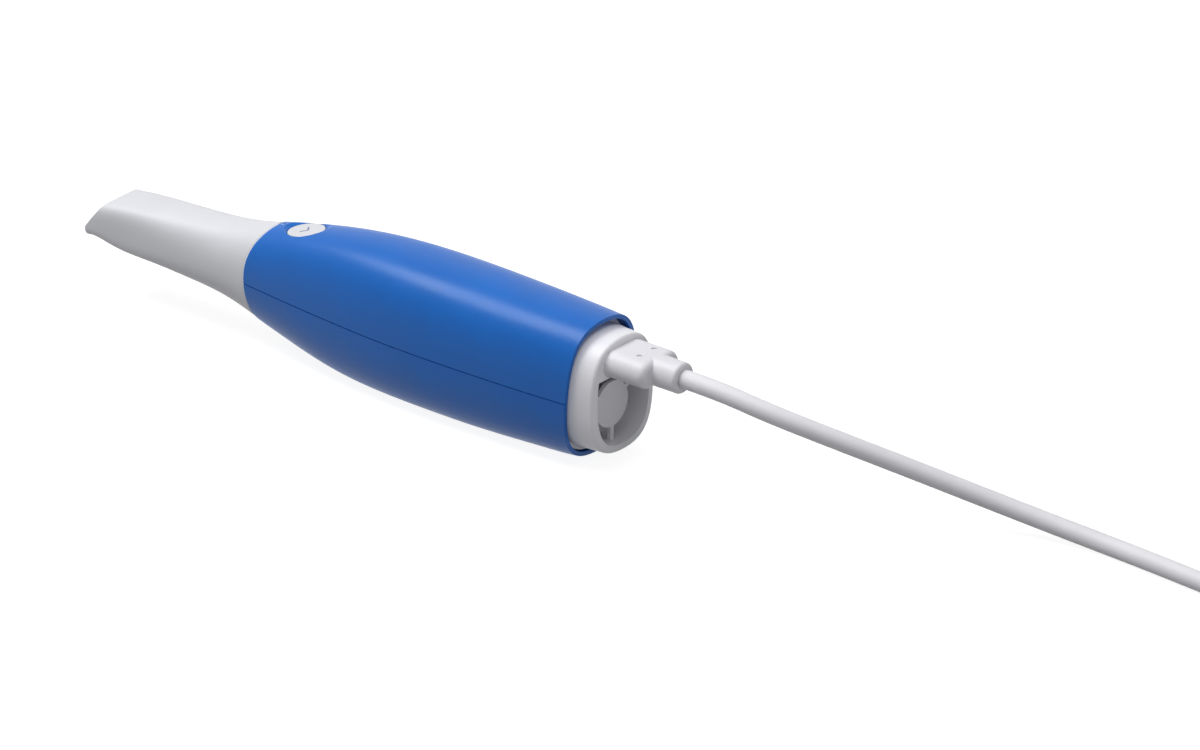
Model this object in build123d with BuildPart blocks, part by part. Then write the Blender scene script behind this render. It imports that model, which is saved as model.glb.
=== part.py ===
"""Hand-held intraoral scanner with its cable, in millimetres, button side up.

The origin is under the middle of the scanner, on the surface that it rests on.
+X points at the scanning tip, +Y to the scanner's left, +Z up.
"""

import math
import os

from build123d import *

os.makedirs("parts", exist_ok=True)

# Lengths along the scanner
cap_stand_out = 11.0
handle_length = 158.0
tip_length = 79.0
length = cap_stand_out + handle_length + tip_length

# Handle, tip and cap sections
handle_width = 44.0
handle_rise = 30.0
handle_drop = 28.3
rest_flat_depth = 0.4
tip_width = 28.0
tip_rise = 19.5
tip_drop = 17.0
soft_corner = 0.72
front_corner = 0.62
cap_rim_width = 35.3
cap_rim_height = 45.2
cap_draft = 0.05
cap_lift = 0.7

# Walls and clearances
shell_wall = 1.6
tip_wall = 1.5
cap_wall = 3.0
nose_wall = 1.4
fit_gap = 0.25
slide_gap = 0.35
pin_gap = 0.05
hole_gap = 0.1
cut_past = 1.0
small_corner = 1.0

# Positions from the rim of the cap and from the parting plane of the handle
rim_x = -length / 2
rear_x = rim_x + cap_stand_out
front_x = rear_x + handle_length
end_x = front_x + tip_length
seam_z = handle_drop - rest_flat_depth
cap_z = seam_z + cap_lift

# Each form gives, along its length from 0 to 1, the shares of half width, rise and drop, and the
# fullness of the section: 0.55 is an ellipse, 1 is nearly a rounded box. The handle ends as the tip starts.
handle_form = [
    (0.00, 0.918, 0.937, 0.908, soft_corner),
    (0.12, 0.964, 0.963, 0.965, soft_corner),
    (0.31, 1.000, 0.990, 1.000, soft_corner),
    (0.50, 0.991, 1.000, 1.000, soft_corner),
    (0.69, 0.900, 0.956, 0.968, 0.70),
    (0.85, 0.768, 0.832, 0.835, 0.66),
    (1.00, tip_width / handle_width, tip_rise / handle_rise, tip_drop / handle_drop, front_corner),
]
tip_form = [
    (0.00, 1.000, 1.000, 1.000, front_corner),
    (0.20, 0.907, 0.846, 0.738, 0.64),
    (0.46, 0.843, 0.732, 0.558, 0.78),
    (0.71, 0.807, 0.632, 0.453, 0.92),
    (1.00, 0.786, 0.487, 0.306, 1.00),
]


def form_at(form, s):
    """Shares at the place s of a form, on a smooth line through its rows."""
    last = len(form) - 2
    i = min(max(sum(row[0] <= s for row in form) - 1, 0), last)
    before, start, end, after = form[max(i - 1, 0)], form[i], form[i + 1], form[min(i + 2, last + 1)]
    span = end[0] - start[0]
    t = (s - start[0]) / span
    shares = []
    for column in range(1, 5):
        a, b = start[column], end[column]
        slope_a = (b - before[column]) / (end[0] - before[0]) * span
        slope_b = (after[column] - a) / (after[0] - start[0]) * span
        if t < 0:
            shares.append(a + slope_a * t)
        elif t > 1:
            shares.append(b + slope_b * (t - 1))
        else:
            curve = (2 * t**3 - 3 * t**2 + 1) * a + (t**3 - 2 * t**2 + t) * slope_a
            shares.append(curve + (3 * t**2 - 2 * t**3) * b + (t**3 - t**2) * slope_b)
    return shares


def handle_size(x, inset=0.0):
    """Half width, rise, drop and fullness of the handle at x, moved in by the inset."""
    wide, rise, drop, full = form_at(handle_form, (x - rear_x) / handle_length)
    return wide * handle_width / 2 - inset, rise * handle_rise - inset, drop * handle_drop - inset, full


def tip_size(x, inset=0.0):
    """Half width, rise, drop and fullness of the tip at x, moved in by the inset."""
    wide, rise, drop, full = form_at(tip_form, max(0.0, (x - front_x) / tip_length))
    return wide * tip_width / 2 - inset, rise * tip_rise - inset, drop * tip_drop - inset, full


def cap_size(x, inset=0.0):
    """Half width, rise, drop and fullness of the cap at x, moved in by the inset."""
    grow = cap_draft * (x - rim_x) - inset
    return cap_rim_width / 2 + grow, cap_rim_height / 2 + grow, cap_rim_height / 2 + grow, soft_corner


def across(x, z=0.0, y=0.0):
    """Plane across the scanner, its own x to the left and its own y up."""
    return Plane((x, y, z), x_dir=(0, 1, 0), z_dir=(1, 0, 0))


def closed_curve(plane, size):
    """Closed section of four matching curves on a plane."""
    wide, rise, drop, full = size
    with BuildSketch(plane) as section:
        with BuildLine():
            Bezier((wide, 0), (wide, full * rise), (full * wide, rise), (0, rise))
            Bezier((0, rise), (-full * wide, rise), (-wide, full * rise), (-wide, 0))
            Bezier((-wide, 0), (-wide, -full * drop), (-full * wide, -drop), (0, -drop))
            Bezier((0, -drop), (full * wide, -drop), (wide, -full * drop), (wide, 0))
        make_face()
    return section.sketch


def whole_section(x, z, size):
    """Closed section across the scanner at x, centred at the height z."""
    return closed_curve(across(x, z), size)


def half_section(x, inset, upper):
    """Half of the handle's section, on one side of the parting plane."""
    wide, rise, drop, full = handle_size(x, inset)
    height = rise if upper else -drop
    with BuildSketch(across(x, seam_z)) as section:
        with BuildLine():
            Bezier((wide, 0), (wide, full * height), (full * wide, height), (0, height))
            Bezier((0, height), (-full * wide, height), (-wide, full * height), (-wide, 0))
            Line((-wide, 0), (wide, 0))
        make_face()
    return section.sketch


def spread(start, end, count):
    """Evenly spaced places from start to end."""
    return [start + (end - start) * i / (count - 1) for i in range(count)]


# The rear edge of the handle leans back. Its front edge bows forwards in two arcs that meet above the seam.
rear_lean = 4.4
rear_margin = 3.0
front_margin = 7.0
bow_crest = 0.4
bow_above_seam = 4.0
bow_up_radius = 27.0
bow_down_radius = 55.0
bow_up_arc = 60.0
bow_down_arc = 30.0
rear_plane = Plane((rear_x, 0, seam_z), x_dir=(0, 1, 0), z_dir=(1, 0, math.tan(math.radians(rear_lean))))
handle_section_count = 9
tip_section_count = 7
handle_places = spread(rear_x - rear_margin, front_x + front_margin, handle_section_count)
cavity_places = spread(handle_places[0] - cut_past, handle_places[-1] + cut_past, handle_section_count)


def bow_x(height):
    """Where the bowed front edge lies at a height above the seam."""
    above = height - bow_above_seam
    radius = bow_up_radius if above > 0 else bow_down_radius
    return front_x + bow_crest - radius + math.sqrt(radius**2 - above**2)


def ahead_of_bow(shift=0.0):
    """Solid of all that lies ahead of the bowed front edge, which is moved forwards by the shift."""
    crest_x, crest_z, far_x = front_x + bow_crest + shift, seam_z + bow_above_seam, end_x + 2 * cut_past
    with BuildPart() as ahead:
        with BuildSketch(Plane.XZ):
            with BuildLine():
                upper = CenterArc((crest_x - bow_up_radius, crest_z), bow_up_radius, 0, bow_up_arc)
                lower = CenterArc((crest_x - bow_down_radius, crest_z), bow_down_radius, 0, -bow_down_arc)
                Polyline(upper @ 1, (far_x, (upper @ 1).Y), (far_x, (lower @ 1).Y), lower @ 1)
            make_face()
        extrude(amount=handle_width, both=True)
    return ahead.part


# A fine groove runs round the seam between the shells
groove_half_height = 0.2
groove_depth = 0.5
with BuildPart() as seam_groove:
    with BuildSketch(Plane.XY.offset(seam_z - groove_half_height)):
        with Locations(((handle_places[0] + handle_places[-1]) / 2, 0)):
            Rectangle(handle_places[-1] - handle_places[0], 2 * handle_width)
    extrude(amount=2 * groove_half_height)
    loft(
        [whole_section(x, seam_z, handle_size(x, groove_depth)) for x in cavity_places],
        mode=Mode.SUBTRACT,
    )

# Scan button, on a plane of its own that follows the slope of the handle's top
button_behind_front = 18.4
button_sink = 1.6
button_slope = 8.5
button_radius = 7.1
button_thickness = 2.2
button_crown = 0.35
button_flange_radius = 8.1
button_flange = 0.8
button_boss_radius = 11.2
button_dish_angle = 62.0
button_x = front_x - button_behind_front
button_z = seam_z + handle_size(button_x)[1] - button_sink
button_normal = (math.sin(math.radians(button_slope)), 0, math.cos(math.radians(button_slope)))
button_plane = Plane((button_x, 0, button_z), x_dir=(0, 1, 0), z_dir=button_normal)
boss_under = button_thickness - button_flange

# Status light, ahead of the button and just behind the bowed edge
light_behind_edge = 1.5
light_radius = 0.9
light_depth = shell_wall + fit_gap
light_x = bow_x(handle_size(front_x - front_margin)[1]) - light_behind_edge
light_top_z = seam_z + handle_size(light_x)[1]

# Boards under the button
switch_board_size = (23.0, 9.0, 1.2)
switch_board_drop = 7.4
switch_size = (6.0, 6.0, 3.4)
plunger_radius = 1.5
post_reach = 9.8
post_radius = 1.3
plunger_engaged = 0.9
button_foot = boss_under + hole_gap + button_flange
plunger_length = switch_board_drop - switch_size[2] - button_foot + plunger_engaged

# Optics tray on bosses, ending at the nose that reaches back into the handle
nose_inset = max(tip_wall + slide_gap, shell_wall + fit_gap)
nose_overlap = 9.0
tray_length = 64.0
tray_side_gap = 0.15
tray_height = 18.0
tray_wall = 1.5
tray_floor_below_seam = 8.3
tray_boss_places = (47.0, 23.0)
boss_radius = 3.0
nose_x = front_x - nose_overlap
tray_x = nose_x - tray_length
tray_width = tip_width - 2 * (nose_inset + tray_side_gap)
tray_z = seam_z - tray_floor_below_seam
optics_z = tray_z + tray_wall

# Cap, its air recess and guard, and the slot that takes the cable's plug
cap_set_in = 3.0
cap_depth = cap_stand_out + cap_set_in
cap_flange = 6.0
rim_round = 1.3
slot_width = 22.0
slot_height = 10.8
slot_edge = 2.9
slot_rise = cap_rim_height / 2 - slot_edge - slot_height / 2
recess_depth = 13.0
recess_top = slot_rise - slot_height / 2
shelf_wall = 1.7
guard_depth = 5.3
guard_thickness = 1.6
guard_radius = 9.0
guard_drop = 5.7
guard_rib = 1.8
guard_rib_angles = (-90.0, 30.0, 150.0)
plug_seat = 8.2
guard_z = cap_z - guard_drop
slot_z = cap_z + slot_rise
cap_back_x = rim_x + cap_depth + cap_flange

# Fan behind the cap, blowing along the board
fan_size = 25.0
fan_depth = 7.0
fan_base = 1.2
duct_radius = 11.6
rotor_radius = 10.9
hub_radius = 5.0
hub_length = 4.6
blade_count = 7
blade_thickness = 0.9
blade_twist = 32.0
shaft_radius = 1.0
motor_radius = 5.2
fan_corner = 2.0
fan_hole_inset = 2.2
fan_screw_length = 10.0
strut_width = 1.5
strut_bite = 0.5
strut_angles = (90, 210, 330)
hub_round = 0.6
blade_root = 0.8
fan_x = cap_back_x
fan_hole_spacing = fan_size - 2 * fan_hole_inset
screw_radius = 0.95
screw_head_radius = 1.9
screw_head = 1.3

# Cable's socket in the cap, its plug and the round neck
socket_depth = 11.0
contact_size = (12.0, 4.5, 6.5)
contact_corner = 0.6
plug_stand_out = 18.1
plug_round = 2.6
neck_radius = 6.0
neck_stand_out = 28.6
dimple_radius = 1.1
dimple_depth = 0.5
dimple_places = ((11.0, 4.1), (11.0, -4.1))
cable_radius = 3.6

# Main board on bosses in the lower shell, between the fan and the tray's first boss
board_behind_fan = 7.0
board_clear = 7.0
board_width = 26.0
board_thickness = 1.6
board_above_belly = 12.8
board_corner = 2.0
board_hole_inset = 4.0
board_screw_length = 7.0
board_x = fan_x + fan_depth + board_behind_fan
board_end_x = front_x - tray_boss_places[0] - boss_radius - board_clear
board_length = board_end_x - board_x
board_mid_x = (board_x + board_end_x) / 2
board_z = seam_z - handle_drop + board_above_belly
board_hole_spacing = (board_length - 2 * board_hole_inset, board_width - 2 * board_hole_inset)

# Chips and heat sink on the main board
processor_size = (14.0, 14.0, 1.4)
sink_size = (34.0, 26.0, 16.0)
sink_behind_fan = 4.5
sink_base = 2.5
fin_count = 8
fin_thickness = 1.0
chip_size = (8.0, 6.0, 1.1)
chips_from_end = 16.0
chip_spacing = (12.0, 9.0)
processor_x = fan_x + fan_depth + sink_behind_fan + sink_size[0] / 2

# Projector, cameras and combiner on the tray, all centred on the nose
projector_size = (20.0, 13.0, 14.0)
projector_place = 6.0
lens_length = 7.0
lens_wall = 1.4
lens_bore_depth = 1.5
lens_side_gap = 1.5
lamp_board_thickness = 1.6
camera_size = (9.0, 4.6, 12.0)
camera_place = 28.0
camera_lens_radius = 2.0
camera_lens_length = 3.0
combiner_place = 44.0
combiner_margin = 2.5
combiner_size = (12.0, tray_width - 2 * (tray_wall + combiner_margin), 14.0)
glass_chamfer = 0.4
bulkhead_edge = 1.0
projector_x = tray_x + projector_place
camera_x = tray_x + camera_place
combiner_x = tray_x + combiner_place
camera_y = tray_width / 2 - tray_wall - camera_size[1] / 2
lens_radius = camera_y - camera_size[1] / 2 - lens_side_gap

# Nose barrel that the tip slides on
nose_reach = 37.0
nose_end_x = front_x + nose_reach
window_thickness = 1.5
seal_place = 20.0
seal_width = 2.4
seal_depth = 0.7
ring_thickness = 0.6
ring_inset = 0.15
ring_section_count = 4

# Tip, cut by its slanted end, with the scan window in its underside
bevel_angle = 52.5
bevel_start = 0.8
tip_end_round = 3.5
crown_radius = 3.0
crown_turn = 45.0
crown_lift = 0.04
window_length = 10.5
window_width = 15.0
window_corner = 2.0
window_from_end = 2.8
window_step = 0.6
window_step_from_end = 14.0
window_below_seam = 2.0
mirror_size = (15.0, 10.0, 1.1)

# Upper shell
with BuildPart() as upper_boss:
    loft([half_section(x, 0, True) for x in handle_places])
    with BuildSketch(button_plane.offset(-boss_under)):
        Circle(button_boss_radius)
    extrude(amount=button_boss_radius, mode=Mode.INTERSECT)

with BuildPart() as switch_posts:
    loft([half_section(x, shell_wall / 2, True) for x in handle_places])
    with BuildSketch(button_plane.offset(-switch_board_drop)):
        with Locations((-post_reach, 0), (post_reach, 0)):
            Circle(post_radius)
    extrude(amount=switch_board_drop - boss_under, mode=Mode.INTERSECT)

with BuildPart() as upper_shell:
    loft([half_section(x, 0, True) for x in handle_places])
    loft([half_section(x, shell_wall, True) for x in cavity_places], mode=Mode.SUBTRACT)
    add(upper_boss.part)
    add(switch_posts.part)
    split(bisect_by=rear_plane, keep=Keep.TOP)
    add(ahead_of_bow(), mode=Mode.SUBTRACT)
    add(seam_groove.part, mode=Mode.SUBTRACT)
    with BuildSketch(button_plane.offset(-hole_gap)):
        Circle(button_radius + fit_gap)
    extrude(amount=button_boss_radius, taper=-button_dish_angle, mode=Mode.SUBTRACT)
    with BuildSketch(button_plane):
        Circle(button_radius + fit_gap)
    extrude(amount=-button_boss_radius, mode=Mode.SUBTRACT)
    with BuildSketch(button_plane.offset(-boss_under)):
        Circle(button_flange_radius + fit_gap)
    extrude(amount=-button_boss_radius, mode=Mode.SUBTRACT)
    with BuildSketch(Plane.XY.offset(light_top_z - light_depth - fit_gap)):
        with Locations((light_x, 0)):
            Circle(light_radius + pin_gap)
    extrude(amount=light_depth + cut_past, mode=Mode.SUBTRACT)
upper_shell.part.label = "upper_shell"
export_step(upper_shell.part, "parts/upper_shell.step")

# Lower shell, with the rest flat under its belly
with BuildPart() as lower_bosses:
    loft([half_section(x, shell_wall / 2, False) for x in handle_places])
    with BuildSketch(Plane.XY.offset(board_z)):
        with Locations((board_mid_x, 0)):
            with GridLocations(*board_hole_spacing, 2, 2):
                Circle(boss_radius)
                Circle(screw_radius + pin_gap, mode=Mode.SUBTRACT)
    extrude(amount=-handle_drop, mode=Mode.INTERSECT)

with BuildPart() as tray_bosses:
    loft([half_section(x, shell_wall / 2, False) for x in handle_places])
    with BuildSketch(Plane.XY.offset(tray_z)):
        with Locations(*[(front_x - place, 0) for place in tray_boss_places]):
            Circle(boss_radius)
    extrude(amount=-handle_drop, mode=Mode.INTERSECT)

with BuildPart() as lower_shell:
    loft([half_section(x, 0, False) for x in handle_places])
    loft([half_section(x, shell_wall, False) for x in cavity_places], mode=Mode.SUBTRACT)
    split(bisect_by=rear_plane, keep=Keep.TOP)
    split(bisect_by=Plane.XY, keep=Keep.TOP)
    add(ahead_of_bow(), mode=Mode.SUBTRACT)
    add(seam_groove.part, mode=Mode.SUBTRACT)
    add(lower_bosses.part)
    add(tray_bosses.part)
lower_shell.part.label = "lower_shell"
export_step(lower_shell.part, "parts/lower_shell.step")

# Scan button with its plain chevron pressed in, and the plunger that it pushes
chevron_width = 0.7
chevron_depth = 0.25
chevron_reach = 2.3
chevron_ahead = 1.8
with BuildPart() as button:
    with BuildSketch(button_plane.offset(-button_thickness)):
        Circle(button_radius)
    extrude(amount=button_thickness)
    fillet(button.edges().sort_by(lambda e: e.center().Z)[-1], button_crown)
    with BuildSketch(button_plane.offset(-boss_under - hole_gap)):
        Circle(button_flange_radius)
    extrude(amount=-button_flange)
    with BuildSketch(button_plane):
        with BuildLine() as chevron:
            foot = -chevron_ahead / 2
            Polyline((-chevron_reach, foot), (0, chevron_ahead / 2), (chevron_reach, foot))
            offset(amount=chevron_width / 2)
        make_face()
    extrude(amount=-chevron_depth, mode=Mode.SUBTRACT)
button.part.label = "button"
export_step(button.part, "parts/button.step")

with BuildPart() as switch_plunger:
    with BuildSketch(button_plane.offset(-button_foot)):
        Circle(plunger_radius)
    extrude(amount=-plunger_length)
switch_plunger.part.label = "switch_plunger"
export_step(switch_plunger.part, "parts/switch_plunger.step")

with BuildPart() as button_board:
    with BuildSketch(button_plane.offset(-switch_board_drop)):
        Rectangle(switch_board_size[0], switch_board_size[1])
        fillet(vertices(), small_corner)
    extrude(amount=-switch_board_size[2])
button_board.part.label = "button_board"
export_step(button_board.part, "parts/button_board.step")

with BuildPart() as tact_switch:
    with BuildSketch(button_plane.offset(-switch_board_drop)):
        Rectangle(switch_size[0], switch_size[1])
        fillet(vertices(), small_corner / 2)
    extrude(amount=switch_size[2])
    with BuildSketch(button_plane.offset(-switch_board_drop + switch_size[2])):
        Circle(plunger_radius + pin_gap)
    extrude(amount=-plunger_length, mode=Mode.SUBTRACT)
tact_switch.part.label = "tact_switch"
export_step(tact_switch.part, "parts/tact_switch.step")

with BuildPart() as light_pipe:
    with BuildSketch(Plane.XY.offset(light_top_z - light_depth)):
        with Locations((light_x, 0)):
            Circle(light_radius)
    extrude(amount=light_depth)
    fillet(light_pipe.edges().group_by(Axis.Z)[-1], light_radius / 3)
light_pipe.part.label = "light_pipe"
export_step(light_pipe.part, "parts/light_pipe.step")

# Rear cap with its flange, recess, guard and plug slot, all one moulding
with BuildPart() as recess:
    loft([whole_section(x, cap_z, cap_size(x, cap_wall)) for x in (rim_x - cut_past, rim_x + recess_depth)])
    with BuildSketch(Plane.XZ) as recess_side:
        with BuildLine():
            Polyline(
                (rim_x - 2 * cut_past, cap_z - cap_rim_height),
                (rim_x - 2 * cut_past, cap_z + recess_top),
                (rim_x + guard_depth, cap_z + recess_top),
                (rim_x + guard_depth, cap_z + recess_top - shelf_wall),
                (rim_x + recess_depth + cut_past, cap_z + recess_top - shelf_wall),
                (rim_x + recess_depth + cut_past, cap_z - cap_rim_height),
                close=True,
            )
        make_face()
    extrude(amount=cap_rim_width, both=True, mode=Mode.INTERSECT)

with BuildPart() as guard:
    loft([whole_section(x, cap_z, cap_size(x)) for x in (rim_x, rim_x + cap_depth)])
    with BuildSketch(across(rim_x + guard_depth, guard_z)):
        Circle(guard_radius)
        for angle in guard_rib_angles:
            Rectangle(cap_rim_width, guard_rib, rotation=angle, align=(Align.MIN, Align.CENTER))
    extrude(amount=guard_thickness, mode=Mode.INTERSECT)

with BuildPart() as rear_cap:
    loft([whole_section(x, cap_z, cap_size(x)) for x in (rim_x, rim_x + cap_depth)])
    flange_places = (rim_x + cap_depth, cap_back_x)
    loft([whole_section(x, seam_z, handle_size(x, shell_wall + fit_gap)) for x in flange_places])
    fillet(rear_cap.edges().group_by(Axis.X)[0], rim_round)
    add(recess.part, mode=Mode.SUBTRACT)
    with BuildSketch(across(rim_x - cut_past, slot_z)):
        SlotOverall(slot_width + 2 * hole_gap, slot_height + 2 * hole_gap)
    extrude(amount=cap_depth + cap_flange + 2 * cut_past, mode=Mode.SUBTRACT)
    with BuildSketch(across(rim_x + recess_depth - cut_past, guard_z)):
        Circle(duct_radius)
    extrude(amount=cap_depth + cap_flange, mode=Mode.SUBTRACT)
    with BuildSketch(across(cap_back_x, guard_z)):
        with GridLocations(fan_hole_spacing, fan_hole_spacing, 2, 2):
            Circle(screw_radius + pin_gap)
    extrude(amount=-(fan_screw_length - fan_depth + cut_past), mode=Mode.SUBTRACT)
    add(guard.part)
rear_cap.part.label = "rear_cap"
export_step(rear_cap.part, "parts/rear_cap.step")

# Cable socket in the slot, behind the plug
with BuildPart() as cable_socket:
    with BuildSketch(across(rim_x + plug_seat, slot_z)):
        SlotOverall(slot_width, slot_height)
    extrude(amount=socket_depth)
    with BuildSketch(across(rim_x + plug_seat, slot_z)):
        Rectangle(contact_size[0] + 2 * fit_gap, contact_size[1] + 2 * fit_gap)
    extrude(amount=contact_size[2] + fit_gap, mode=Mode.SUBTRACT)
    fillet(cable_socket.edges().group_by(Axis.X)[-1], small_corner)
cable_socket.part.label = "cable_socket"
export_step(cable_socket.part, "parts/cable_socket.step")

# Fan frame on the back of the cap, with its motor base carried by struts
with BuildPart() as fan_frame:
    with BuildSketch(across(fan_x, guard_z)):
        RectangleRounded(fan_size, fan_size, fan_corner)
        Circle(duct_radius, mode=Mode.SUBTRACT)
        with GridLocations(fan_hole_spacing, fan_hole_spacing, 2, 2):
            Circle(screw_radius + pin_gap, mode=Mode.SUBTRACT)
    extrude(amount=fan_depth)
    with BuildSketch(across(fan_x + fan_depth, guard_z)):
        Circle(motor_radius)
        for angle in strut_angles:
            Rectangle(duct_radius + strut_bite, strut_width, rotation=angle, align=(Align.MIN, Align.CENTER))
    extrude(amount=-fan_base)
    with BuildSketch(across(fan_x + fan_depth, guard_z)):
        Circle(shaft_radius + pin_gap)
    extrude(amount=-fan_base, mode=Mode.SUBTRACT)
fan_frame.part.label = "fan_frame"
export_step(fan_frame.part, "parts/fan_frame.step")

# Fan rotor: hub, twisted blades and the shaft that turns in the motor base
hub_x = fan_x + fan_depth - fan_base - fit_gap - hub_length
with BuildPart() as fan_rotor:
    with BuildSketch(across(hub_x, guard_z)):
        Circle(hub_radius)
    extrude(amount=hub_length)
    fillet(fan_rotor.edges().group_by(Axis.X)[0], hub_round)
    for turn in range(blade_count):
        angle = 2 * math.pi * turn / blade_count
        outward = (0, math.cos(angle), math.sin(angle))
        blade_face = Plane((hub_x + hub_length / 2, 0, guard_z), x_dir=(1, 0, 0), z_dir=outward)
        with BuildSketch(blade_face.offset(hub_radius - blade_root)):
            Rectangle(hub_length - blade_root, blade_thickness, rotation=blade_twist)
        extrude(amount=rotor_radius - hub_radius + blade_root)
    with BuildSketch(across(hub_x + hub_length, guard_z)):
        Circle(shaft_radius)
    extrude(amount=fan_base + fit_gap)
fan_rotor.part.label = "fan_rotor"
export_step(fan_rotor.part, "parts/fan_rotor.step")

# Four screws through the fan into the cap
with BuildPart() as fan_screws:
    with BuildSketch(across(fan_x + fan_depth, guard_z)):
        with GridLocations(fan_hole_spacing, fan_hole_spacing, 2, 2):
            Circle(screw_radius)
    extrude(amount=-fan_screw_length)
    with BuildSketch(across(fan_x + fan_depth, guard_z)):
        with GridLocations(fan_hole_spacing, fan_hole_spacing, 2, 2):
            Circle(screw_head_radius)
    extrude(amount=screw_head)
fan_screws.part.label = "fan_screws"
export_step(fan_screws.part, "parts/fan_screws.step")

# Main board with its chips, heat sink and screws
with BuildPart() as main_board:
    with BuildSketch(Plane.XY.offset(board_z)):
        with Locations((board_mid_x, 0)):
            RectangleRounded(board_length, board_width, board_corner)
            with GridLocations(*board_hole_spacing, 2, 2):
                Circle(screw_radius + pin_gap, mode=Mode.SUBTRACT)
    extrude(amount=board_thickness)
main_board.part.label = "main_board"
export_step(main_board.part, "parts/main_board.step")

board_top = board_z + board_thickness
with BuildPart() as board_screws:
    with BuildSketch(Plane.XY.offset(board_top)):
        with Locations((board_mid_x, 0)):
            with GridLocations(*board_hole_spacing, 2, 2):
                Circle(screw_radius)
    extrude(amount=-board_screw_length)
    with BuildSketch(Plane.XY.offset(board_top)):
        with Locations((board_mid_x, 0)):
            with GridLocations(*board_hole_spacing, 2, 2):
                Circle(screw_head_radius)
    extrude(amount=screw_head)
board_screws.part.label = "board_screws"
export_step(board_screws.part, "parts/board_screws.step")

with BuildPart() as processor:
    with BuildSketch(Plane.XY.offset(board_top)):
        with Locations((processor_x, 0)):
            Rectangle(processor_size[0], processor_size[1])
    extrude(amount=processor_size[2])
processor.part.label = "processor"
export_step(processor.part, "parts/processor.step")

with BuildPart() as board_chips:
    with BuildSketch(Plane.XY.offset(board_top)):
        with Locations((board_end_x - chips_from_end, 0)):
            with GridLocations(*chip_spacing, 2, 2):
                Rectangle(chip_size[0], chip_size[1])
    extrude(amount=chip_size[2])
board_chips.part.label = "board_chips"
export_step(board_chips.part, "parts/board_chips.step")

sink_z = board_top + processor_size[2]
fin_pitch = (sink_size[1] - fin_thickness) / (fin_count - 1)
with BuildPart() as heat_sink:
    with BuildSketch(Plane.XY.offset(sink_z)):
        with Locations((processor_x, 0)):
            Rectangle(sink_size[0], sink_size[1])
    extrude(amount=sink_base)
    with BuildSketch(Plane.XY.offset(sink_z + sink_base)):
        with Locations((processor_x, 0)):
            with GridLocations(1, fin_pitch, 1, fin_count):
                Rectangle(sink_size[0], fin_thickness)
    extrude(amount=sink_size[2] - sink_base)
heat_sink.part.label = "heat_sink"
export_step(heat_sink.part, "parts/heat_sink.step")

# Optics tray: an open channel with a bulkhead against the nose
from_floor = (Align.CENTER, Align.MIN)
with BuildPart() as optics_tray:
    with BuildSketch(across(tray_x, tray_z)):
        Rectangle(tray_width, tray_height, align=from_floor)
        with Locations((0, tray_wall)):
            Rectangle(tray_width - 2 * tray_wall, tray_height, align=from_floor, mode=Mode.SUBTRACT)
    extrude(amount=tray_length)
    with BuildSketch(across(nose_x, tray_z)):
        Rectangle(tray_width, tray_height, align=from_floor)
        with Locations((0, seam_z - tray_z)):
            Rectangle(combiner_size[1], combiner_size[2] - 2 * bulkhead_edge, mode=Mode.SUBTRACT)
    extrude(amount=-tray_wall)
optics_tray.part.label = "optics_tray"
export_step(optics_tray.part, "parts/optics_tray.step")


def tray_block(x, y, size):
    """Box standing on the tray's floor, from x forwards."""
    with BuildPart() as block:
        with BuildSketch(Plane.XY.offset(optics_z)):
            with Locations((x, y)):
                Rectangle(size[0], size[1], align=(Align.MIN, Align.CENTER))
        extrude(amount=size[2])
    return block.part


projector_block = tray_block(projector_x, 0, projector_size)
lamp_board_size = (lamp_board_thickness, projector_size[1], projector_size[2])
lamp_block = tray_block(projector_x - lamp_board_thickness, 0, lamp_board_size)
combiner_block = tray_block(combiner_x, 0, combiner_size)

with BuildPart() as projector:
    add(projector_block)
    fillet(projector.edges().filter_by(Axis.Z), small_corner)
projector.part.label = "projector"
export_step(projector.part, "parts/projector.step")

with BuildPart() as lamp_board:
    add(lamp_block)
lamp_board.part.label = "lamp_board"
export_step(lamp_board.part, "parts/lamp_board.step")

with BuildPart() as projector_lens:
    with BuildSketch(across(projector_x + projector_size[0], seam_z)):
        Circle(lens_radius)
    extrude(amount=lens_length)
    with BuildSketch(across(projector_x + projector_size[0] + lens_length, seam_z)):
        Circle(lens_radius - lens_wall)
    extrude(amount=-lens_bore_depth, mode=Mode.SUBTRACT)
projector_lens.part.label = "projector_lens"
export_step(projector_lens.part, "parts/projector_lens.step")

for name, side in (("camera_left", 1), ("camera_right", -1)):
    camera_block = tray_block(camera_x, side * camera_y, camera_size)
    with BuildPart() as camera:
        add(camera_block)
        with BuildSketch(across(camera_x + camera_size[0], seam_z, side * camera_y)):
            Circle(camera_lens_radius)
        extrude(amount=camera_lens_length)
    camera.part.label = name
    export_step(camera.part, f"parts/{name}.step")

with BuildPart() as combiner:
    add(combiner_block)
    chamfer(combiner.edges().filter_by(Axis.Y), glass_chamfer)
combiner.part.label = "combiner"
export_step(combiner.part, "parts/combiner.step")


def nose_band(x, width, outer_inset, inner_inset):
    """Ring that follows the nose, from x forwards, between two insets of the tip."""
    with BuildPart() as band:
        loft([whole_section(place, seam_z, tip_size(place, outer_inset)) for place in (x, x + width)])
        loft(
            [whole_section(place, seam_z, tip_size(place, inner_inset)) for place in (x, x + width)],
            mode=Mode.SUBTRACT,
        )
    return band.part


def nose_body(inset):
    """Solid on the nose's outline: straight inside the handle, tapering inside the tip."""
    with BuildPart() as body:
        loft([whole_section(x, seam_z, tip_size(x, inset)) for x in (nose_x, front_x)])
        loft([whole_section(x, seam_z, tip_size(x, inset)) for x in spread(front_x, end_x, tip_section_count)])
        split(bisect_by=across(nose_end_x, seam_z), keep=Keep.BOTTOM)
    return body.part


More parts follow.
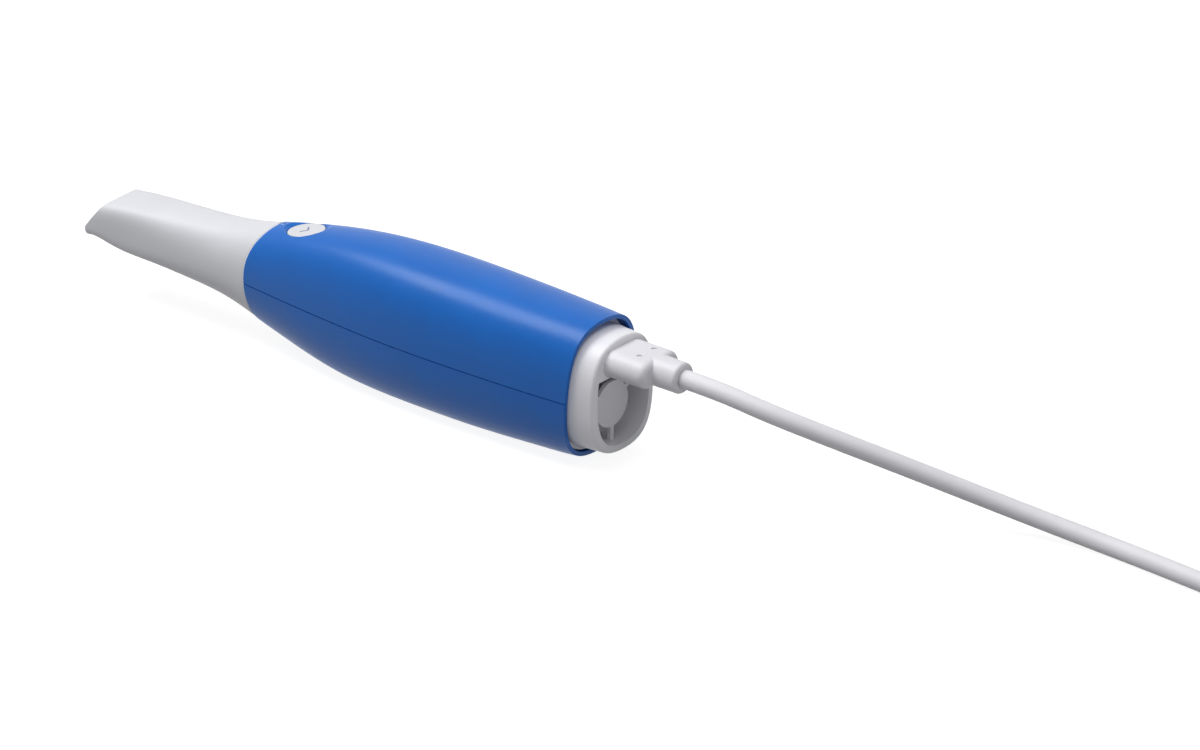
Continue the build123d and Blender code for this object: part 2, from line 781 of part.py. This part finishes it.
# Nose barrel, its window and its seal
seal_x = front_x + seal_place
nose_outside = nose_body(nose_inset)
nose_inside = nose_body(nose_inset + nose_wall)
seal_groove = nose_band(seal_x, seal_width, 0, nose_inset + seal_depth)
seal_band = nose_band(seal_x, seal_width, tip_wall + hole_gap, nose_inset + seal_depth)
with BuildPart() as nose:
    add(nose_outside)
    add(nose_inside, mode=Mode.SUBTRACT)
    add(seal_groove, mode=Mode.SUBTRACT)
nose.part.label = "nose"
export_step(nose.part, "parts/nose.step")

with BuildPart() as nose_seal:
    add(seal_band)
nose_seal.part.label = "nose_seal"
export_step(nose_seal.part, "parts/nose_seal.step")

window_x = nose_end_x - window_thickness - hole_gap
with BuildPart() as nose_window:
    loft(
        [
            whole_section(x, seam_z, tip_size(x, nose_inset + nose_wall + hole_gap))
            for x in (window_x, window_x + window_thickness)
        ]
    )
nose_window.part.label = "nose_window"
export_step(nose_window.part, "parts/nose_window.step")


def outer_size(x, inset=0.0):
    """Size of the outside at x, on the handle's form up to its front and on the tip's beyond it."""
    return handle_size(x, inset) if x < front_x else tip_size(x, inset)


# Thin bowed ring between the handle and the tip
ring_places = spread(front_x - front_margin, front_x + front_margin / 2, ring_section_count)
with BuildPart() as front_ring:
    loft([whole_section(x, seam_z, outer_size(x, ring_inset)) for x in ring_places])
    loft(
        [whole_section(x, seam_z, outer_size(x, nose_inset - slide_gap)) for x in ring_places],
        mode=Mode.SUBTRACT,
    )
    add(ahead_of_bow(), mode=Mode.INTERSECT)
    add(ahead_of_bow(ring_thickness), mode=Mode.SUBTRACT)
front_ring.part.label = "front_ring"
export_step(front_ring.part, "parts/front_ring.step")


def crown_place(end, bevel_z, inset):
    """Where the slanted end, drawn from its foot, meets the top of the tip."""
    x = end
    for step in range(tip_section_count):
        x = end - (seam_z + tip_size(x, inset)[1] - bevel_z) / math.tan(math.radians(bevel_angle))
    return x, seam_z + tip_size(x, inset)[1]


def tip_side(inset):
    """Side outline of the tip's slanted end, moved in by the inset."""
    end, low = end_x - inset, seam_z - 2 * handle_drop
    start, high = front_x - 2 * front_margin, seam_z + handle_rise
    curve = tip_end_round - inset
    step_x = end_x - window_step_from_end
    step_z = seam_z - tip_size(step_x, inset)[2] + window_step
    corner_z = seam_z - tip_size(end - curve, inset)[2] + window_step
    bevel_z = seam_z - bevel_start - inset * math.tan(math.radians((90 - bevel_angle) / 2))
    crown_x, crown_z = crown_place(end, bevel_z, inset)
    run = (crown_radius - inset) * math.tan(math.radians(crown_turn / 2))
    up_bevel = (-math.cos(math.radians(bevel_angle)), math.sin(math.radians(bevel_angle)))
    crown_start = (crown_x - run * up_bevel[0], crown_z - run * up_bevel[1])
    crown_end = (crown_x - run, seam_z + tip_size(crown_x - run, inset)[1] + crown_lift)
    with BuildSketch(Plane.XZ) as side:
        with BuildLine():
            Line((end, bevel_z), crown_start)
            TangentArc(crown_start, crown_end, tangent=up_bevel)
            Polyline(crown_end, (crown_end[0], high), (start, high), (start, low), (step_x, low))
            Polyline((step_x, low), (step_x, step_z), (end - curve, corner_z))
            RadiusArc((end - curve, corner_z), (end, corner_z + curve), -curve)
            Line((end, corner_z + curve), (end, bevel_z))
        make_face()
    return side.sketch


# Tip: a tapering sleeve with a slanted end, and the scan window underneath in a shallow step
tip_places = [front_x - front_margin, front_x - front_margin / 2] + spread(front_x, end_x, tip_section_count)
window_mid_x = end_x - window_from_end - window_length / 2
with BuildPart() as tip_hollow:
    loft([whole_section(x, seam_z, outer_size(x, tip_wall)) for x in tip_places])
    extrude(tip_side(tip_wall), amount=tip_width, both=True, mode=Mode.INTERSECT)

with BuildPart() as tip:
    loft([whole_section(x, seam_z, outer_size(x)) for x in tip_places])
    extrude(tip_side(0), amount=tip_width, both=True, mode=Mode.INTERSECT)
    add(tip_hollow.part, mode=Mode.SUBTRACT)
    add(ahead_of_bow(ring_thickness), mode=Mode.INTERSECT)
    with BuildSketch(Plane.XY.offset(seam_z - handle_drop)):
        with Locations((window_mid_x, 0)):
            RectangleRounded(window_length, window_width, window_corner)
    extrude(amount=handle_drop - window_below_seam, mode=Mode.SUBTRACT)
tip.part.label = "tip"
export_step(tip.part, "parts/tip.step")

# Mirror on the inside of the slanted end
slope = (-math.cos(math.radians(bevel_angle)), 0, math.sin(math.radians(bevel_angle)))
inward = (-math.sin(math.radians(bevel_angle)), 0, -math.cos(math.radians(bevel_angle)))
mirror_foot = seam_z - bevel_start - tip_wall * math.tan(math.radians((90 - bevel_angle) / 2))
mirror_plane = Plane((end_x - tip_wall, 0, mirror_foot), x_dir=slope, z_dir=inward)
with BuildPart() as tip_mirror:
    with BuildSketch(mirror_plane):
        Rectangle(mirror_size[1], mirror_size[0], align=(Align.MIN, Align.CENTER))
    extrude(amount=mirror_size[2])
tip_mirror.part.label = "tip_mirror"
export_step(tip_mirror.part, "parts/tip_mirror.step")

# Moulded plug of the cable, with its neck, dimples and metal contact
plug_length = plug_stand_out + plug_seat
with BuildPart() as cable_plug:
    with BuildSketch(across(rim_x + plug_seat, slot_z)):
        SlotOverall(slot_width, slot_height)
    extrude(amount=-plug_length)
    fillet(cable_plug.edges().group_by(Axis.X)[0], plug_round)
    with BuildSketch(across(rim_x - plug_stand_out + plug_round, slot_z)):
        Circle(neck_radius)
    extrude(amount=-(neck_stand_out - plug_stand_out + plug_round))
    fillet(cable_plug.edges().group_by(Axis.X)[0], rim_round)
    with BuildSketch(Plane.XY.offset(slot_z + slot_height / 2)):
        with Locations(*[(rim_x - place[0], place[1]) for place in dimple_places]):
            Circle(dimple_radius)
    extrude(amount=-dimple_depth, mode=Mode.SUBTRACT)
cable_plug.part.label = "cable_plug"
export_step(cable_plug.part, "parts/cable_plug.step")

with BuildPart() as cable_contact:
    with BuildSketch(across(rim_x + plug_seat, slot_z)):
        Rectangle(contact_size[0], contact_size[1])
    extrude(amount=contact_size[2])
    fillet(cable_contact.edges().filter_by(Axis.X), contact_corner)
cable_contact.part.label = "cable_contact"
export_step(cable_contact.part, "parts/cable_contact.step")

# Cable from the plug's neck down to the table and along it to the coil
route = [
    (rim_x - neck_stand_out, 0, slot_z),
    (-170, 0, 42.9),
    (-190, -2.5, 39.4),
    (-212, -13, 31.9),
    (-235, -27, 22.4),
    (-258, -40.5, 13),
    (-281, -49.6, 6.4),
    (-305, -53, 3.6),
    (-331, -51.6, 3.6),
    (-364, -49, 3.6),
    (-404, -46, 3.6),
    (-438, -46, 3.6),
]


def corner_radii(points):
    """Radius for each corner: 0.45 of the shorter run over the tangent of half the turn."""
    radii = []
    for before, corner, after in zip(points, points[1:], points[2:]):
        come, go = Vector(*corner) - Vector(*before), Vector(*after) - Vector(*corner)
        half_turn = math.radians(come.get_angle(go) / 2)
        radii.append(0.45 * min(come.length, go.length) / math.tan(half_turn))
    return radii


radii = corner_radii(route)
print("cable radii", [round(radius) for radius in radii])
with BuildPart() as cable_run:
    with BuildLine() as cable_path:
        FilletPolyline(*route, radius=radii)
    with BuildSketch(Plane(route[0], x_dir=(0, 1, 0), z_dir=(-1, 0, 0))):
        Circle(cable_radius)
    sweep(path=cable_path.wire())
run_length = cable_path.wire().length
volume_share = cable_run.part.volume / (math.pi * cable_radius**2 * run_length)
print("cable length", round(run_length, 1))
print("cable volume over section times length", round(volume_share, 4))
cable_run.part.label = "cable_run"
export_step(cable_run.part, "parts/cable_run.step")

# Coil of the rest of the cable: two turns wide and three high, with the ends that meet its neighbours
turn_inner = 37.2
turns_wide = 2
turns_high = 3
lead_in = 28.0
tail_arc = 70.0
tail_bite = 0.2
coil_corner = 3.2
cable_width = 2 * cable_radius
turn_outer = turn_inner + (turns_wide - 1) * cable_width
coil_x = route[-1][0] - lead_in
coil_y = route[-1][1] + turn_outer
coil_top = turns_high * cable_width
tail_radius = (turn_inner + turn_outer) / 2
tail_z = coil_top + cable_radius - tail_bite
coil_axis = Axis((coil_x, coil_y, 0), (0, 0, 1))
with BuildPart() as cable_coil:
    with BuildSketch(Plane.XZ.offset(-coil_y)):
        with Locations((coil_x - tail_radius, coil_top / 2)):
            RectangleRounded(turns_wide * cable_width, coil_top, coil_corner)
    revolve(axis=coil_axis)
    with BuildSketch(across(route[-1][0], cable_radius, route[-1][1])):
        Circle(cable_radius)
    extrude(amount=-lead_in)
    with BuildSketch(Plane.XZ.offset(-coil_y)):
        with Locations((coil_x - tail_radius, tail_z)):
            Circle(cable_radius)
    revolve(axis=coil_axis, revolution_arc=tail_arc)
cable_coil.part.label = "cable_coil"
export_step(cable_coil.part, "parts/cable_coil.step")

# Computer plug at the far end, lying on the coil
hub_relief = 14.0
hub_size = (12.5, 6.8, 22.0)
hub_corner = 2.0
hub_neck_radius = 3.4
hub_shell_size = (8.3, 2.5, 6.5)
hub_shell_corner = 1.2
hub_shell_wall = 0.4
hub_x = coil_x - tail_radius
hub_z = coil_top + hub_size[1] / 2


def hub_plane(y):
    """Plane across the far plug, y ahead of the tail's end."""
    return Plane((hub_x, coil_y + y, hub_z), x_dir=(1, 0, 0), z_dir=(0, 1, 0))


with BuildPart() as hub_plug:
    with BuildSketch(hub_plane(0)):
        Circle(hub_neck_radius)
    with BuildSketch(hub_plane(hub_relief)):
        Circle(hub_size[1] / 2)
    loft()
    with BuildSketch(hub_plane(hub_relief)):
        RectangleRounded(hub_size[0], hub_size[1], hub_corner)
    extrude(amount=hub_size[2])
hub_plug.part.label = "hub_plug"
export_step(hub_plug.part, "parts/hub_plug.step")

with BuildPart() as hub_plug_shell:
    with BuildSketch(hub_plane(hub_relief + hub_size[2])):
        RectangleRounded(hub_shell_size[0], hub_shell_size[1], hub_shell_corner)
        offset(amount=-hub_shell_wall, mode=Mode.SUBTRACT)
    extrude(amount=hub_shell_size[2])
hub_plug_shell.part.label = "hub_plug_shell"
export_step(hub_plug_shell.part, "parts/hub_plug_shell.step")
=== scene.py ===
"""Looks of the hand-held intraoral scanner and its cable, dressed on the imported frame, in metres."""

import math

import bpy
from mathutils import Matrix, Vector


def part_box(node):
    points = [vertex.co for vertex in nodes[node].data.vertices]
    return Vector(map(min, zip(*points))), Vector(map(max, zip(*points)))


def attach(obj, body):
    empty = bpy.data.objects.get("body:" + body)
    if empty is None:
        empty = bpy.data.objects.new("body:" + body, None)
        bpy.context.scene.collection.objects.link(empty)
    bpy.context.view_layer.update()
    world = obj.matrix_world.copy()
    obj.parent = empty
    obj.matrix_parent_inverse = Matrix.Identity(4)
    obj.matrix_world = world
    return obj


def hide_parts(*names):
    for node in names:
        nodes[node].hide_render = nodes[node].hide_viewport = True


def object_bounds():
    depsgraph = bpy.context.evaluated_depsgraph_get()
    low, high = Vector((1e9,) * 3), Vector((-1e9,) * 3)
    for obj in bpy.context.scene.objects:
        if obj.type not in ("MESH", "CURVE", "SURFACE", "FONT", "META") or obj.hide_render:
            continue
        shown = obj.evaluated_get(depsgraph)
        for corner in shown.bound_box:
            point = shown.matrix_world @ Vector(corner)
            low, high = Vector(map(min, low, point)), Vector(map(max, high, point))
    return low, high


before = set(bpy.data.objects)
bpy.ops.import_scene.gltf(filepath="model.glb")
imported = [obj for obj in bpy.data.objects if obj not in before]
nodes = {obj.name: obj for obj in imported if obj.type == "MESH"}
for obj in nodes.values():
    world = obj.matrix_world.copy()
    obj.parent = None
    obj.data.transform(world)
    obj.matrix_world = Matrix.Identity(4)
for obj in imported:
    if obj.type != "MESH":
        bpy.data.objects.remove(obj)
cad_low, cad_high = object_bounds()

# Camera: a very long lens at the photograph's angle, aimed at the point in the middle of its frame
camera_azimuth = math.radians(219.7)
camera_elevation = math.radians(24.75)
camera_target = Vector((-0.11297, 0.0, 0.03276))
frame_width = 0.4363
lens = 1000.0
sensor = 36.0
clip_near = 0.5
clip_far = 100.0


def add_camera():
    """Camera of the main view."""
    flat = math.cos(camera_elevation)
    back = Vector(
        (math.sin(camera_azimuth) * flat, -math.cos(camera_azimuth) * flat, math.sin(camera_elevation))
    )
    data = bpy.data.cameras.new("camera")
    data.lens = lens
    data.sensor_width = sensor
    data.clip_start = clip_near
    data.clip_end = clip_far
    camera = bpy.data.objects.new("camera", data)
    camera.rotation_mode = "QUATERNION"
    camera.location = camera_target + back * frame_width * lens / sensor
    camera.rotation_quaternion = (-back).to_track_quat("-Z", "Y")
    bpy.context.scene.collection.objects.link(camera)
    bpy.context.scene.camera = camera


add_camera()

# Cable: the route from the plug's neck to the table
cable_radius = 0.0036
cable_width = 2 * cable_radius
route = [
    (-0.1526, 0, 0.0429),
    (-0.170, 0, 0.0429),
    (-0.190, -0.0025, 0.0394),
    (-0.212, -0.013, 0.0319),
    (-0.235, -0.027, 0.0224),
    (-0.258, -0.0405, 0.013),
    (-0.281, -0.0496, 0.0064),
    (-0.305, -0.053, 0.0036),
    (-0.331, -0.0516, 0.0036),
    (-0.364, -0.049, 0.0036),
    (-0.404, -0.046, 0.0036),
    (-0.438, -0.046, 0.0036),
]

# Coil of the spare length: its turns, each with its radius and its layer, then a tail on top of them
turn_inner = 0.0372
turn_outer = turn_inner + cable_width
turn_places = [
    (turn_outer, 0),
    (turn_inner, 0),
    (turn_inner, 1),
    (turn_outer, 1),
    (turn_outer, 2),
    (turn_inner, 2),
]
turn_points = 18
shift_points = 4
turn_start = math.radians(270)
lead_in = 0.028
coil_centre = Vector((route[-1][0] - lead_in, route[-1][1] + turn_outer))
tail_radius = (turn_inner + turn_outer) / 2
tail_height = 0.0249
tail_degrees = (270, 250, 230, 210, 190, 180)


def coil_point(radius, angle, height):
    """Point round the middle of the coil."""
    return (coil_centre.x + radius * math.cos(angle), coil_centre.y + radius * math.sin(angle), height)


def coil_points():
    """Points of the turns and the tail, clockwise from above.

    Each turn lies beside or on the last one, and shifts over to the next near its end.
    """
    reach = 1 / math.cos(math.pi / turn_points)
    stops = [(radius, cable_radius + layer * cable_width) for radius, layer in turn_places]
    stops.append((tail_radius, tail_height))
    points = []
    for (radius, height), (next_radius, next_height) in zip(stops, stops[1:]):
        for step in range(turn_points):
            share = max(0, step - (turn_points - shift_points)) / shift_points
            ease = share * share * (3 - 2 * share)
            here = (radius + (next_radius - radius) * ease) * reach
            angle = turn_start - 2 * math.pi * step / turn_points
            points.append(coil_point(here, angle, height + (next_height - height) * ease))
    for degrees in tail_degrees:
        points.append(coil_point(tail_radius, math.radians(degrees), tail_height))
    return points


def add_cable():
    """Whole cable as one smooth spline."""
    curve = bpy.data.curves.new("cable", "CURVE")
    curve.dimensions = "3D"
    curve.bevel_depth = 1.0
    curve.bevel_resolution = 8
    curve.resolution_u = 10
    curve.use_fill_caps = True
    spline = curve.splines.new("NURBS")
    places = route + coil_points()
    spline.points.add(len(places) - 1)
    for point, place in zip(spline.points, places):
        point.co = (*place, 1.0)
        point.radius = cable_radius
    spline.order_u = 3
    spline.use_endpoint_u = True
    cable = bpy.data.objects.new("cable", curve)
    bpy.context.scene.collection.objects.link(cable)
    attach(cable, "housing")
    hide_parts("cable_run", "cable_coil")
    return cable


cable = add_cable()


class Finish:
    """A procedural material under construction, with short calls for its nodes."""

    def __init__(self, name):
        self.material = bpy.data.materials.new(name)
        self.material.use_nodes = True
        self.tree = self.material.node_tree
        self.shader = self.tree.nodes["Principled BSDF"]
        self.place = self.node("ShaderNodeTexCoord").outputs["Object"]

    def node(self, kind, **settings):
        """New node with its settings."""
        made = self.tree.nodes.new(kind)
        for key, value in settings.items():
            setattr(made, key, value)
        return made

    def put(self, socket, value):
        """Sets a socket to a number or colour, or links it to another socket."""
        if isinstance(value, bpy.types.NodeSocket):
            self.tree.links.new(value, socket)
        else:
            socket.default_value = value

    def set(self, **values):
        """Sets the shader's own sockets, named with underscores for spaces."""
        for key, value in values.items():
            self.put(self.shader.inputs[key.replace("_", " ")], value)

    def combine(self, operation, a, b):
        """Number that a math operation makes of two others."""
        made = self.node("ShaderNodeMath", operation=operation)
        self.put(made.inputs[0], a)
        self.put(made.inputs[1], b)
        return made.outputs[0]

    def measure(self, operation, vector):
        """Number that a vector operation makes of the shaded place and a fixed vector."""
        made = self.node("ShaderNodeVectorMath", operation=operation)
        self.put(made.inputs[0], self.place)
        made.inputs[1].default_value = vector
        return made.outputs["Value"]

    def scaled(self, scale):
        """Shaded place with its axes scaled."""
        made = self.node("ShaderNodeMapping")
        self.put(made.inputs["Vector"], self.place)
        made.inputs["Scale"].default_value = scale
        return made.outputs[0]

    def noise(self, scale, detail, roughness=0.5, stretch=(1, 1, 1)):
        """Value of a noise with that many features a metre."""
        made = self.node("ShaderNodeTexNoise")
        self.put(made.inputs["Vector"], self.scaled(stretch))
        made.inputs["Scale"].default_value = scale
        made.inputs["Detail"].default_value = detail
        made.inputs["Roughness"].default_value = roughness
        return made.outputs["Fac"]

    def spread(self, noise, out_low, out_high, reach=0.2):
        """Noise taken to a range from its values within that reach of one half, and clamped."""
        made = self.node("ShaderNodeMapRange")
        self.put(made.inputs["Value"], noise)
        made.inputs["From Min"].default_value = 0.5 - reach
        made.inputs["From Max"].default_value = 0.5 + reach
        made.inputs["To Min"].default_value = out_low
        made.inputs["To Max"].default_value = out_high
        return made.outputs[0]

    def blend(self, share, a, b):
        """Colour between a and b."""
        made = self.node("ShaderNodeMix", data_type="RGBA")
        self.put(made.inputs[0], share)
        self.put(made.inputs[6], a)
        self.put(made.inputs[7], b)
        return made.outputs[2]

    def mottled(self, noise, a, b, reach=0.2):
        """Colour that goes between a and b with a noise."""
        return self.blend(self.spread(noise, 0, 1, reach), a, b)

    def bump(self, height, distance):
        """Bump from a height that spans one unit over the distance."""
        made = self.node("ShaderNodeBump")
        made.inputs["Distance"].default_value = distance
        self.put(made.inputs["Height"], height)
        self.set(Normal=made.outputs[0])


def rgb(red, green, blue):
    """Colour with its alpha."""
    return (red, green, blue, 1.0)


def tone(colour, factor=1.0):
    """Colour made darker or lighter by a factor."""
    return rgb(*[min(1.0, part * factor) for part in colour])


# Mouldings: features a metre in the slow drift of the tone, and how far the roughness goes up and down
# with that drift and with the grain
drift_scale = 55.0
drift_polish = 0.03
grain_polish = 0.04


def moulded(name, colour, rough, grain=2600.0, depth=0.00002, shade=0.04, specular=0.5):
    """Moulded plastic: a fine grain, a slight drift of tone, and polish that varies a little."""
    finish = Finish(name)
    drift = finish.noise(drift_scale, 2.0)
    pores = finish.noise(grain, 4.0, 0.62)
    worn = finish.spread(drift, rough - drift_polish, rough + drift_polish)
    fine = finish.spread(pores, -grain_polish, grain_polish)
    finish.set(
        Base_Color=finish.mottled(drift, tone(colour, 1 - shade), tone(colour, 1 + shade)),
        Roughness=finish.combine("ADD", worn, fine),
        Specular_IOR_Level=specular,
    )
    finish.bump(pores, depth)
    return finish


# Metals: how dark and how deep their marks are, and how much smoother and rougher they make the metal
mark_shade = 0.86
mark_depth = 0.000008
mark_smoother = 0.06
mark_rougher = 0.08


def metal(name, colour, rough, stretch=(1, 1, 1), grain=900.0):
    """Metal with fine marks along its brushing."""
    finish = Finish(name)
    marks = finish.noise(grain, 5.0, 0.7, stretch)
    finish.set(
        Base_Color=finish.mottled(marks, tone(colour, mark_shade), tone(colour), reach=0.15),
        Metallic=1.0,
        Roughness=finish.spread(marks, rough - mark_smoother, rough + mark_rougher),
    )
    finish.bump(marks, mark_depth)
    return finish


def blue_plastic():
    """Satin blue of the two shells, whose gloss takes on some of the blue."""
    blue = (0.009, 0.128, 0.500)
    finish = moulded("blue_satin", blue, rough=0.34, depth=0.000010, shade=0.03, specular=0.26)
    finish.set(Specular_Tint=rgb(0.80, 0.90, 1.0))
    return finish


# Button: its slope along the handle, and its paint, from how deep and up to how far from the middle
button_slope = math.radians(8.5)
paint_depth = 0.00012
paint_reach = 0.0040


def button_plastic():
    """Pale button with bluish grey paint in its chevron."""
    finish = moulded("button_satin", (0.63, 0.64, 0.67), rough=0.40, depth=0.000008, shade=0.02)
    low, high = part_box("button")
    middle = Vector(((low.x + high.x) / 2, 0.0, high.z))
    normal = Vector((math.sin(button_slope), 0.0, math.cos(button_slope)))
    face = max(normal.dot(vertex.co) for vertex in nodes["button"].data.vertices)
    deep = finish.combine("LESS_THAN", finish.measure("DOT_PRODUCT", normal), face - paint_depth)
    near = finish.combine("LESS_THAN", finish.measure("DISTANCE", middle), paint_reach)
    painted = finish.combine("MULTIPLY", deep, near)
    bare = finish.shader.inputs["Base Color"].links[0].from_socket
    finish.set(Base_Color=finish.blend(painted, bare, rgb(0.16, 0.25, 0.42)))
    return finish


def light_plastic():
    """Frosted light pipe, tinted pale blue."""
    return moulded("light_frost", (0.14, 0.32, 0.70), rough=0.35, depth=0.000006, shade=0.02)


def seal_rubber():
    """Matte seal."""
    return moulded("seal_rubber", (0.045, 0.045, 0.048), rough=0.7, specular=0.3)


def cable_jacket():
    """Soft matte jacket of the cable, a little translucent."""
    finish = moulded(
        "cable_jacket",
        (0.74, 0.735, 0.77),
        rough=0.52,
        grain=3200.0,
        depth=0.000015,
        shade=0.03,
        specular=0.35,
    )
    finish.set(Subsurface_Weight=0.8, Subsurface_Scale=0.005, Subsurface_Radius=(1.0, 1.0, 1.0))
    return finish


def clear_glass(name, tint):
    """Coated glass with faint sleeks left by polishing."""
    finish = Finish(name)
    sleeks = finish.noise(1800.0, 3.0, 0.6, (1, 6, 1))
    finish.set(
        Base_Color=finish.mottled(sleeks, tone(tint), tone(tint, 0.97), reach=0.1),
        Roughness=finish.spread(sleeks, 0.02, 0.05),
        Transmission_Weight=0.9,
        IOR=1.5,
    )
    return finish


def mirror_glass():
    """Front-surface mirror."""
    return metal("mirror_face", (0.93, 0.94, 0.96), rough=0.08, grain=300.0)


# Circuit boards: how fine the pattern of traces is, how wide its lines are, and how far they stand up
trace_scale = 420.0
trace_width = 0.035
trace_height = 0.00003


def board_green():
    """Circuit board with traces under its mask."""
    mask_colour = (0.012, 0.14, 0.06)
    trace_colour = (0.0488, 0.356, 0.164)
    finish = Finish("board_green")
    bricks = finish.node("ShaderNodeTexBrick", offset=0.35, squash=1.6)
    finish.put(bricks.inputs["Vector"], finish.scaled((trace_scale, trace_scale, trace_scale)))
    bricks.inputs["Mortar Size"].default_value = trace_width
    traces = bricks.outputs["Fac"]
    cloth = finish.noise(1500.0, 2.0)
    mask = finish.mottled(cloth, tone(mask_colour), tone(mask_colour, 1.25))
    finish.set(
        Base_Color=finish.blend(traces, mask, rgb(*trace_colour)),
        Roughness=finish.spread(cloth, 0.28, 0.38),
    )
    finish.bump(traces, trace_height)
    return finish


def dress(finish, *names):
    """Gives CAD nodes their material."""
    for name in names:
        piece = nodes[name]
        piece.data.materials.clear()
        piece.data.materials.append(finish.material)


# Outside of the scanner and its plugs
cap_plastic = moulded("cap_satin", (0.80, 0.80, 0.84), rough=0.45, depth=0.000012, shade=0.02)
ring_plastic = moulded("ring_gloss", (0.84, 0.86, 0.90), rough=0.25, depth=0.000006, shade=0.02)
tip_plastic = moulded("tip_matte", (0.65, 0.655, 0.69), rough=0.5, depth=0.000014, shade=0.02)
plug_plastic = moulded("plug_satin", (0.705, 0.70, 0.74), rough=0.46, depth=0.000012, shade=0.02)
dress(blue_plastic(), "upper_shell", "lower_shell")
dress(button_plastic(), "button")
dress(light_plastic(), "light_pipe")
dress(cap_plastic, "rear_cap")
dress(ring_plastic, "front_ring")
dress(tip_plastic, "tip")
dress(plug_plastic, "cable_plug", "hub_plug")
cable.data.materials.append(cable_jacket().material)

# Inside of the scanner, and what is metal
plain_black = moulded("black_plastic", (0.028, 0.028, 0.030), rough=0.5)
barrel_black = moulded("barrel_black", (0.030, 0.030, 0.034), rough=0.6)
camera_black = moulded("camera_black", (0.040, 0.040, 0.045), rough=0.45)
tray_anodised = moulded("tray_anodised", (0.09, 0.09, 0.10), rough=0.4)
fan_plastic = moulded("fan_grey", (0.50, 0.51, 0.53), rough=0.5)
steel = metal("steel", (0.62, 0.62, 0.61), rough=0.3)
aluminium = metal("sink_aluminium", (0.72, 0.73, 0.75), rough=0.34, stretch=(0.1, 1, 1))
dress(plain_black, "cable_socket", "tact_switch", "processor", "board_chips", "switch_plunger")
dress(barrel_black, "nose", "projector", "projector_lens")
dress(camera_black, "camera_left", "camera_right")
dress(tray_anodised, "optics_tray")
dress(fan_plastic, "fan_frame", "fan_rotor")
dress(steel, "fan_screws", "board_screws", "cable_contact", "hub_plug_shell")
dress(aluminium, "heat_sink")
dress(board_green(), "main_board", "button_board", "lamp_board")
dress(seal_rubber(), "nose_seal")
dress(clear_glass("window_glass", (0.93, 0.96, 0.97)), "nose_window")
dress(clear_glass("combiner_glass", (0.90, 0.95, 0.97)), "combiner")
dress(mirror_glass(), "tip_mirror")

# Floor, world and lamps: the floor's size, place, grey, roughness and glow where it is seen, the world's
# strength where it only lights, and the point that the lamps are aimed at
floor_size = 6.0
floor_drop = 0.0002
floor_grey = 0.30
floor_rough = 0.9
floor_glow = 0.90
world_fill = 0.15
lamp_aim = Vector((-0.03, 0.0, 0.03))


def seen_directly(tree):
    """One for rays from the camera, off gloss and through glass, none for light that falls on things."""
    path = tree.nodes.new("ShaderNodeLightPath")
    total = path.outputs["Is Camera Ray"]
    for name in ("Is Glossy Ray", "Is Transmission Ray"):
        larger = tree.nodes.new("ShaderNodeMath")
        larger.operation = "MAXIMUM"
        tree.links.new(total, larger.inputs[0])
        tree.links.new(path.outputs[name], larger.inputs[1])
        total = larger.outputs[0]
    return total


def floor_material():
    """Matte grey that glows pale where it is seen."""
    material = bpy.data.materials.new("floor_pale")
    material.use_nodes = True
    tree = material.node_tree
    glow = tree.nodes.new("ShaderNodeMath")
    glow.operation = "MULTIPLY"
    tree.links.new(seen_directly(tree), glow.inputs[0])
    glow.inputs[1].default_value = floor_glow
    shader = tree.nodes["Principled BSDF"]
    shader.inputs["Base Color"].default_value = rgb(floor_grey, floor_grey, floor_grey)
    shader.inputs["Roughness"].default_value = floor_rough
    shader.inputs["Specular IOR Level"].default_value = 0.0
    shader.inputs["Emission Color"].default_value = rgb(1.0, 1.0, 1.0)
    tree.links.new(glow.outputs[0], shader.inputs["Emission Strength"])
    return material


def add_floor():
    """Pale floor that keeps the shadow."""
    half = floor_size / 2
    corners = [(-half, -half, 0), (half, -half, 0), (half, half, 0), (-half, half, 0)]
    mesh = bpy.data.meshes.new("floor")
    mesh.from_pydata(corners, [], [(0, 1, 2, 3)])
    mesh.materials.append(floor_material())
    floor = bpy.data.objects.new("floor", mesh)
    floor.location.z = cad_low.z - floor_drop
    bpy.context.scene.collection.objects.link(floor)


def add_world():
    """White where it is seen, a weak even fill where it lights."""
    world = bpy.data.worlds.new("world")
    world.use_nodes = True
    tree = world.node_tree
    background = tree.nodes["Background"]
    background.inputs["Color"].default_value = rgb(1.0, 1.0, 1.0)
    strength = tree.nodes.new("ShaderNodeMapRange")
    strength.inputs["To Min"].default_value = world_fill
    strength.inputs["To Max"].default_value = 1.0
    tree.links.new(seen_directly(tree), strength.inputs["Value"])
    tree.links.new(strength.outputs[0], background.inputs["Strength"])
    bpy.context.scene.world = world


def add_lamp(name, place, side, power):
    """Soft square lamp aimed at the scanner."""
    data = bpy.data.lights.new(name, "AREA")
    data.shape = "SQUARE"
    data.size = side
    data.energy = power
    lamp = bpy.data.objects.new(name, data)
    lamp.location = place
    lamp.rotation_mode = "QUATERNION"
    lamp.rotation_quaternion = (lamp_aim - Vector(place)).to_track_quat("-Z", "Y")
    bpy.context.scene.collection.objects.link(lamp)


add_floor()
add_world()
add_lamp("key", place=(0.64, 0.34, 1.20), side=0.7, power=13.4)
add_lamp("top", place=(-0.30, 0.15, 1.30), side=1.2, power=8.3)
add_lamp("fill", place=(-1.0, 0.55, 0.35), side=0.8, power=1.3)

scene = bpy.context.scene
scene.view_settings.view_transform = "Standard"
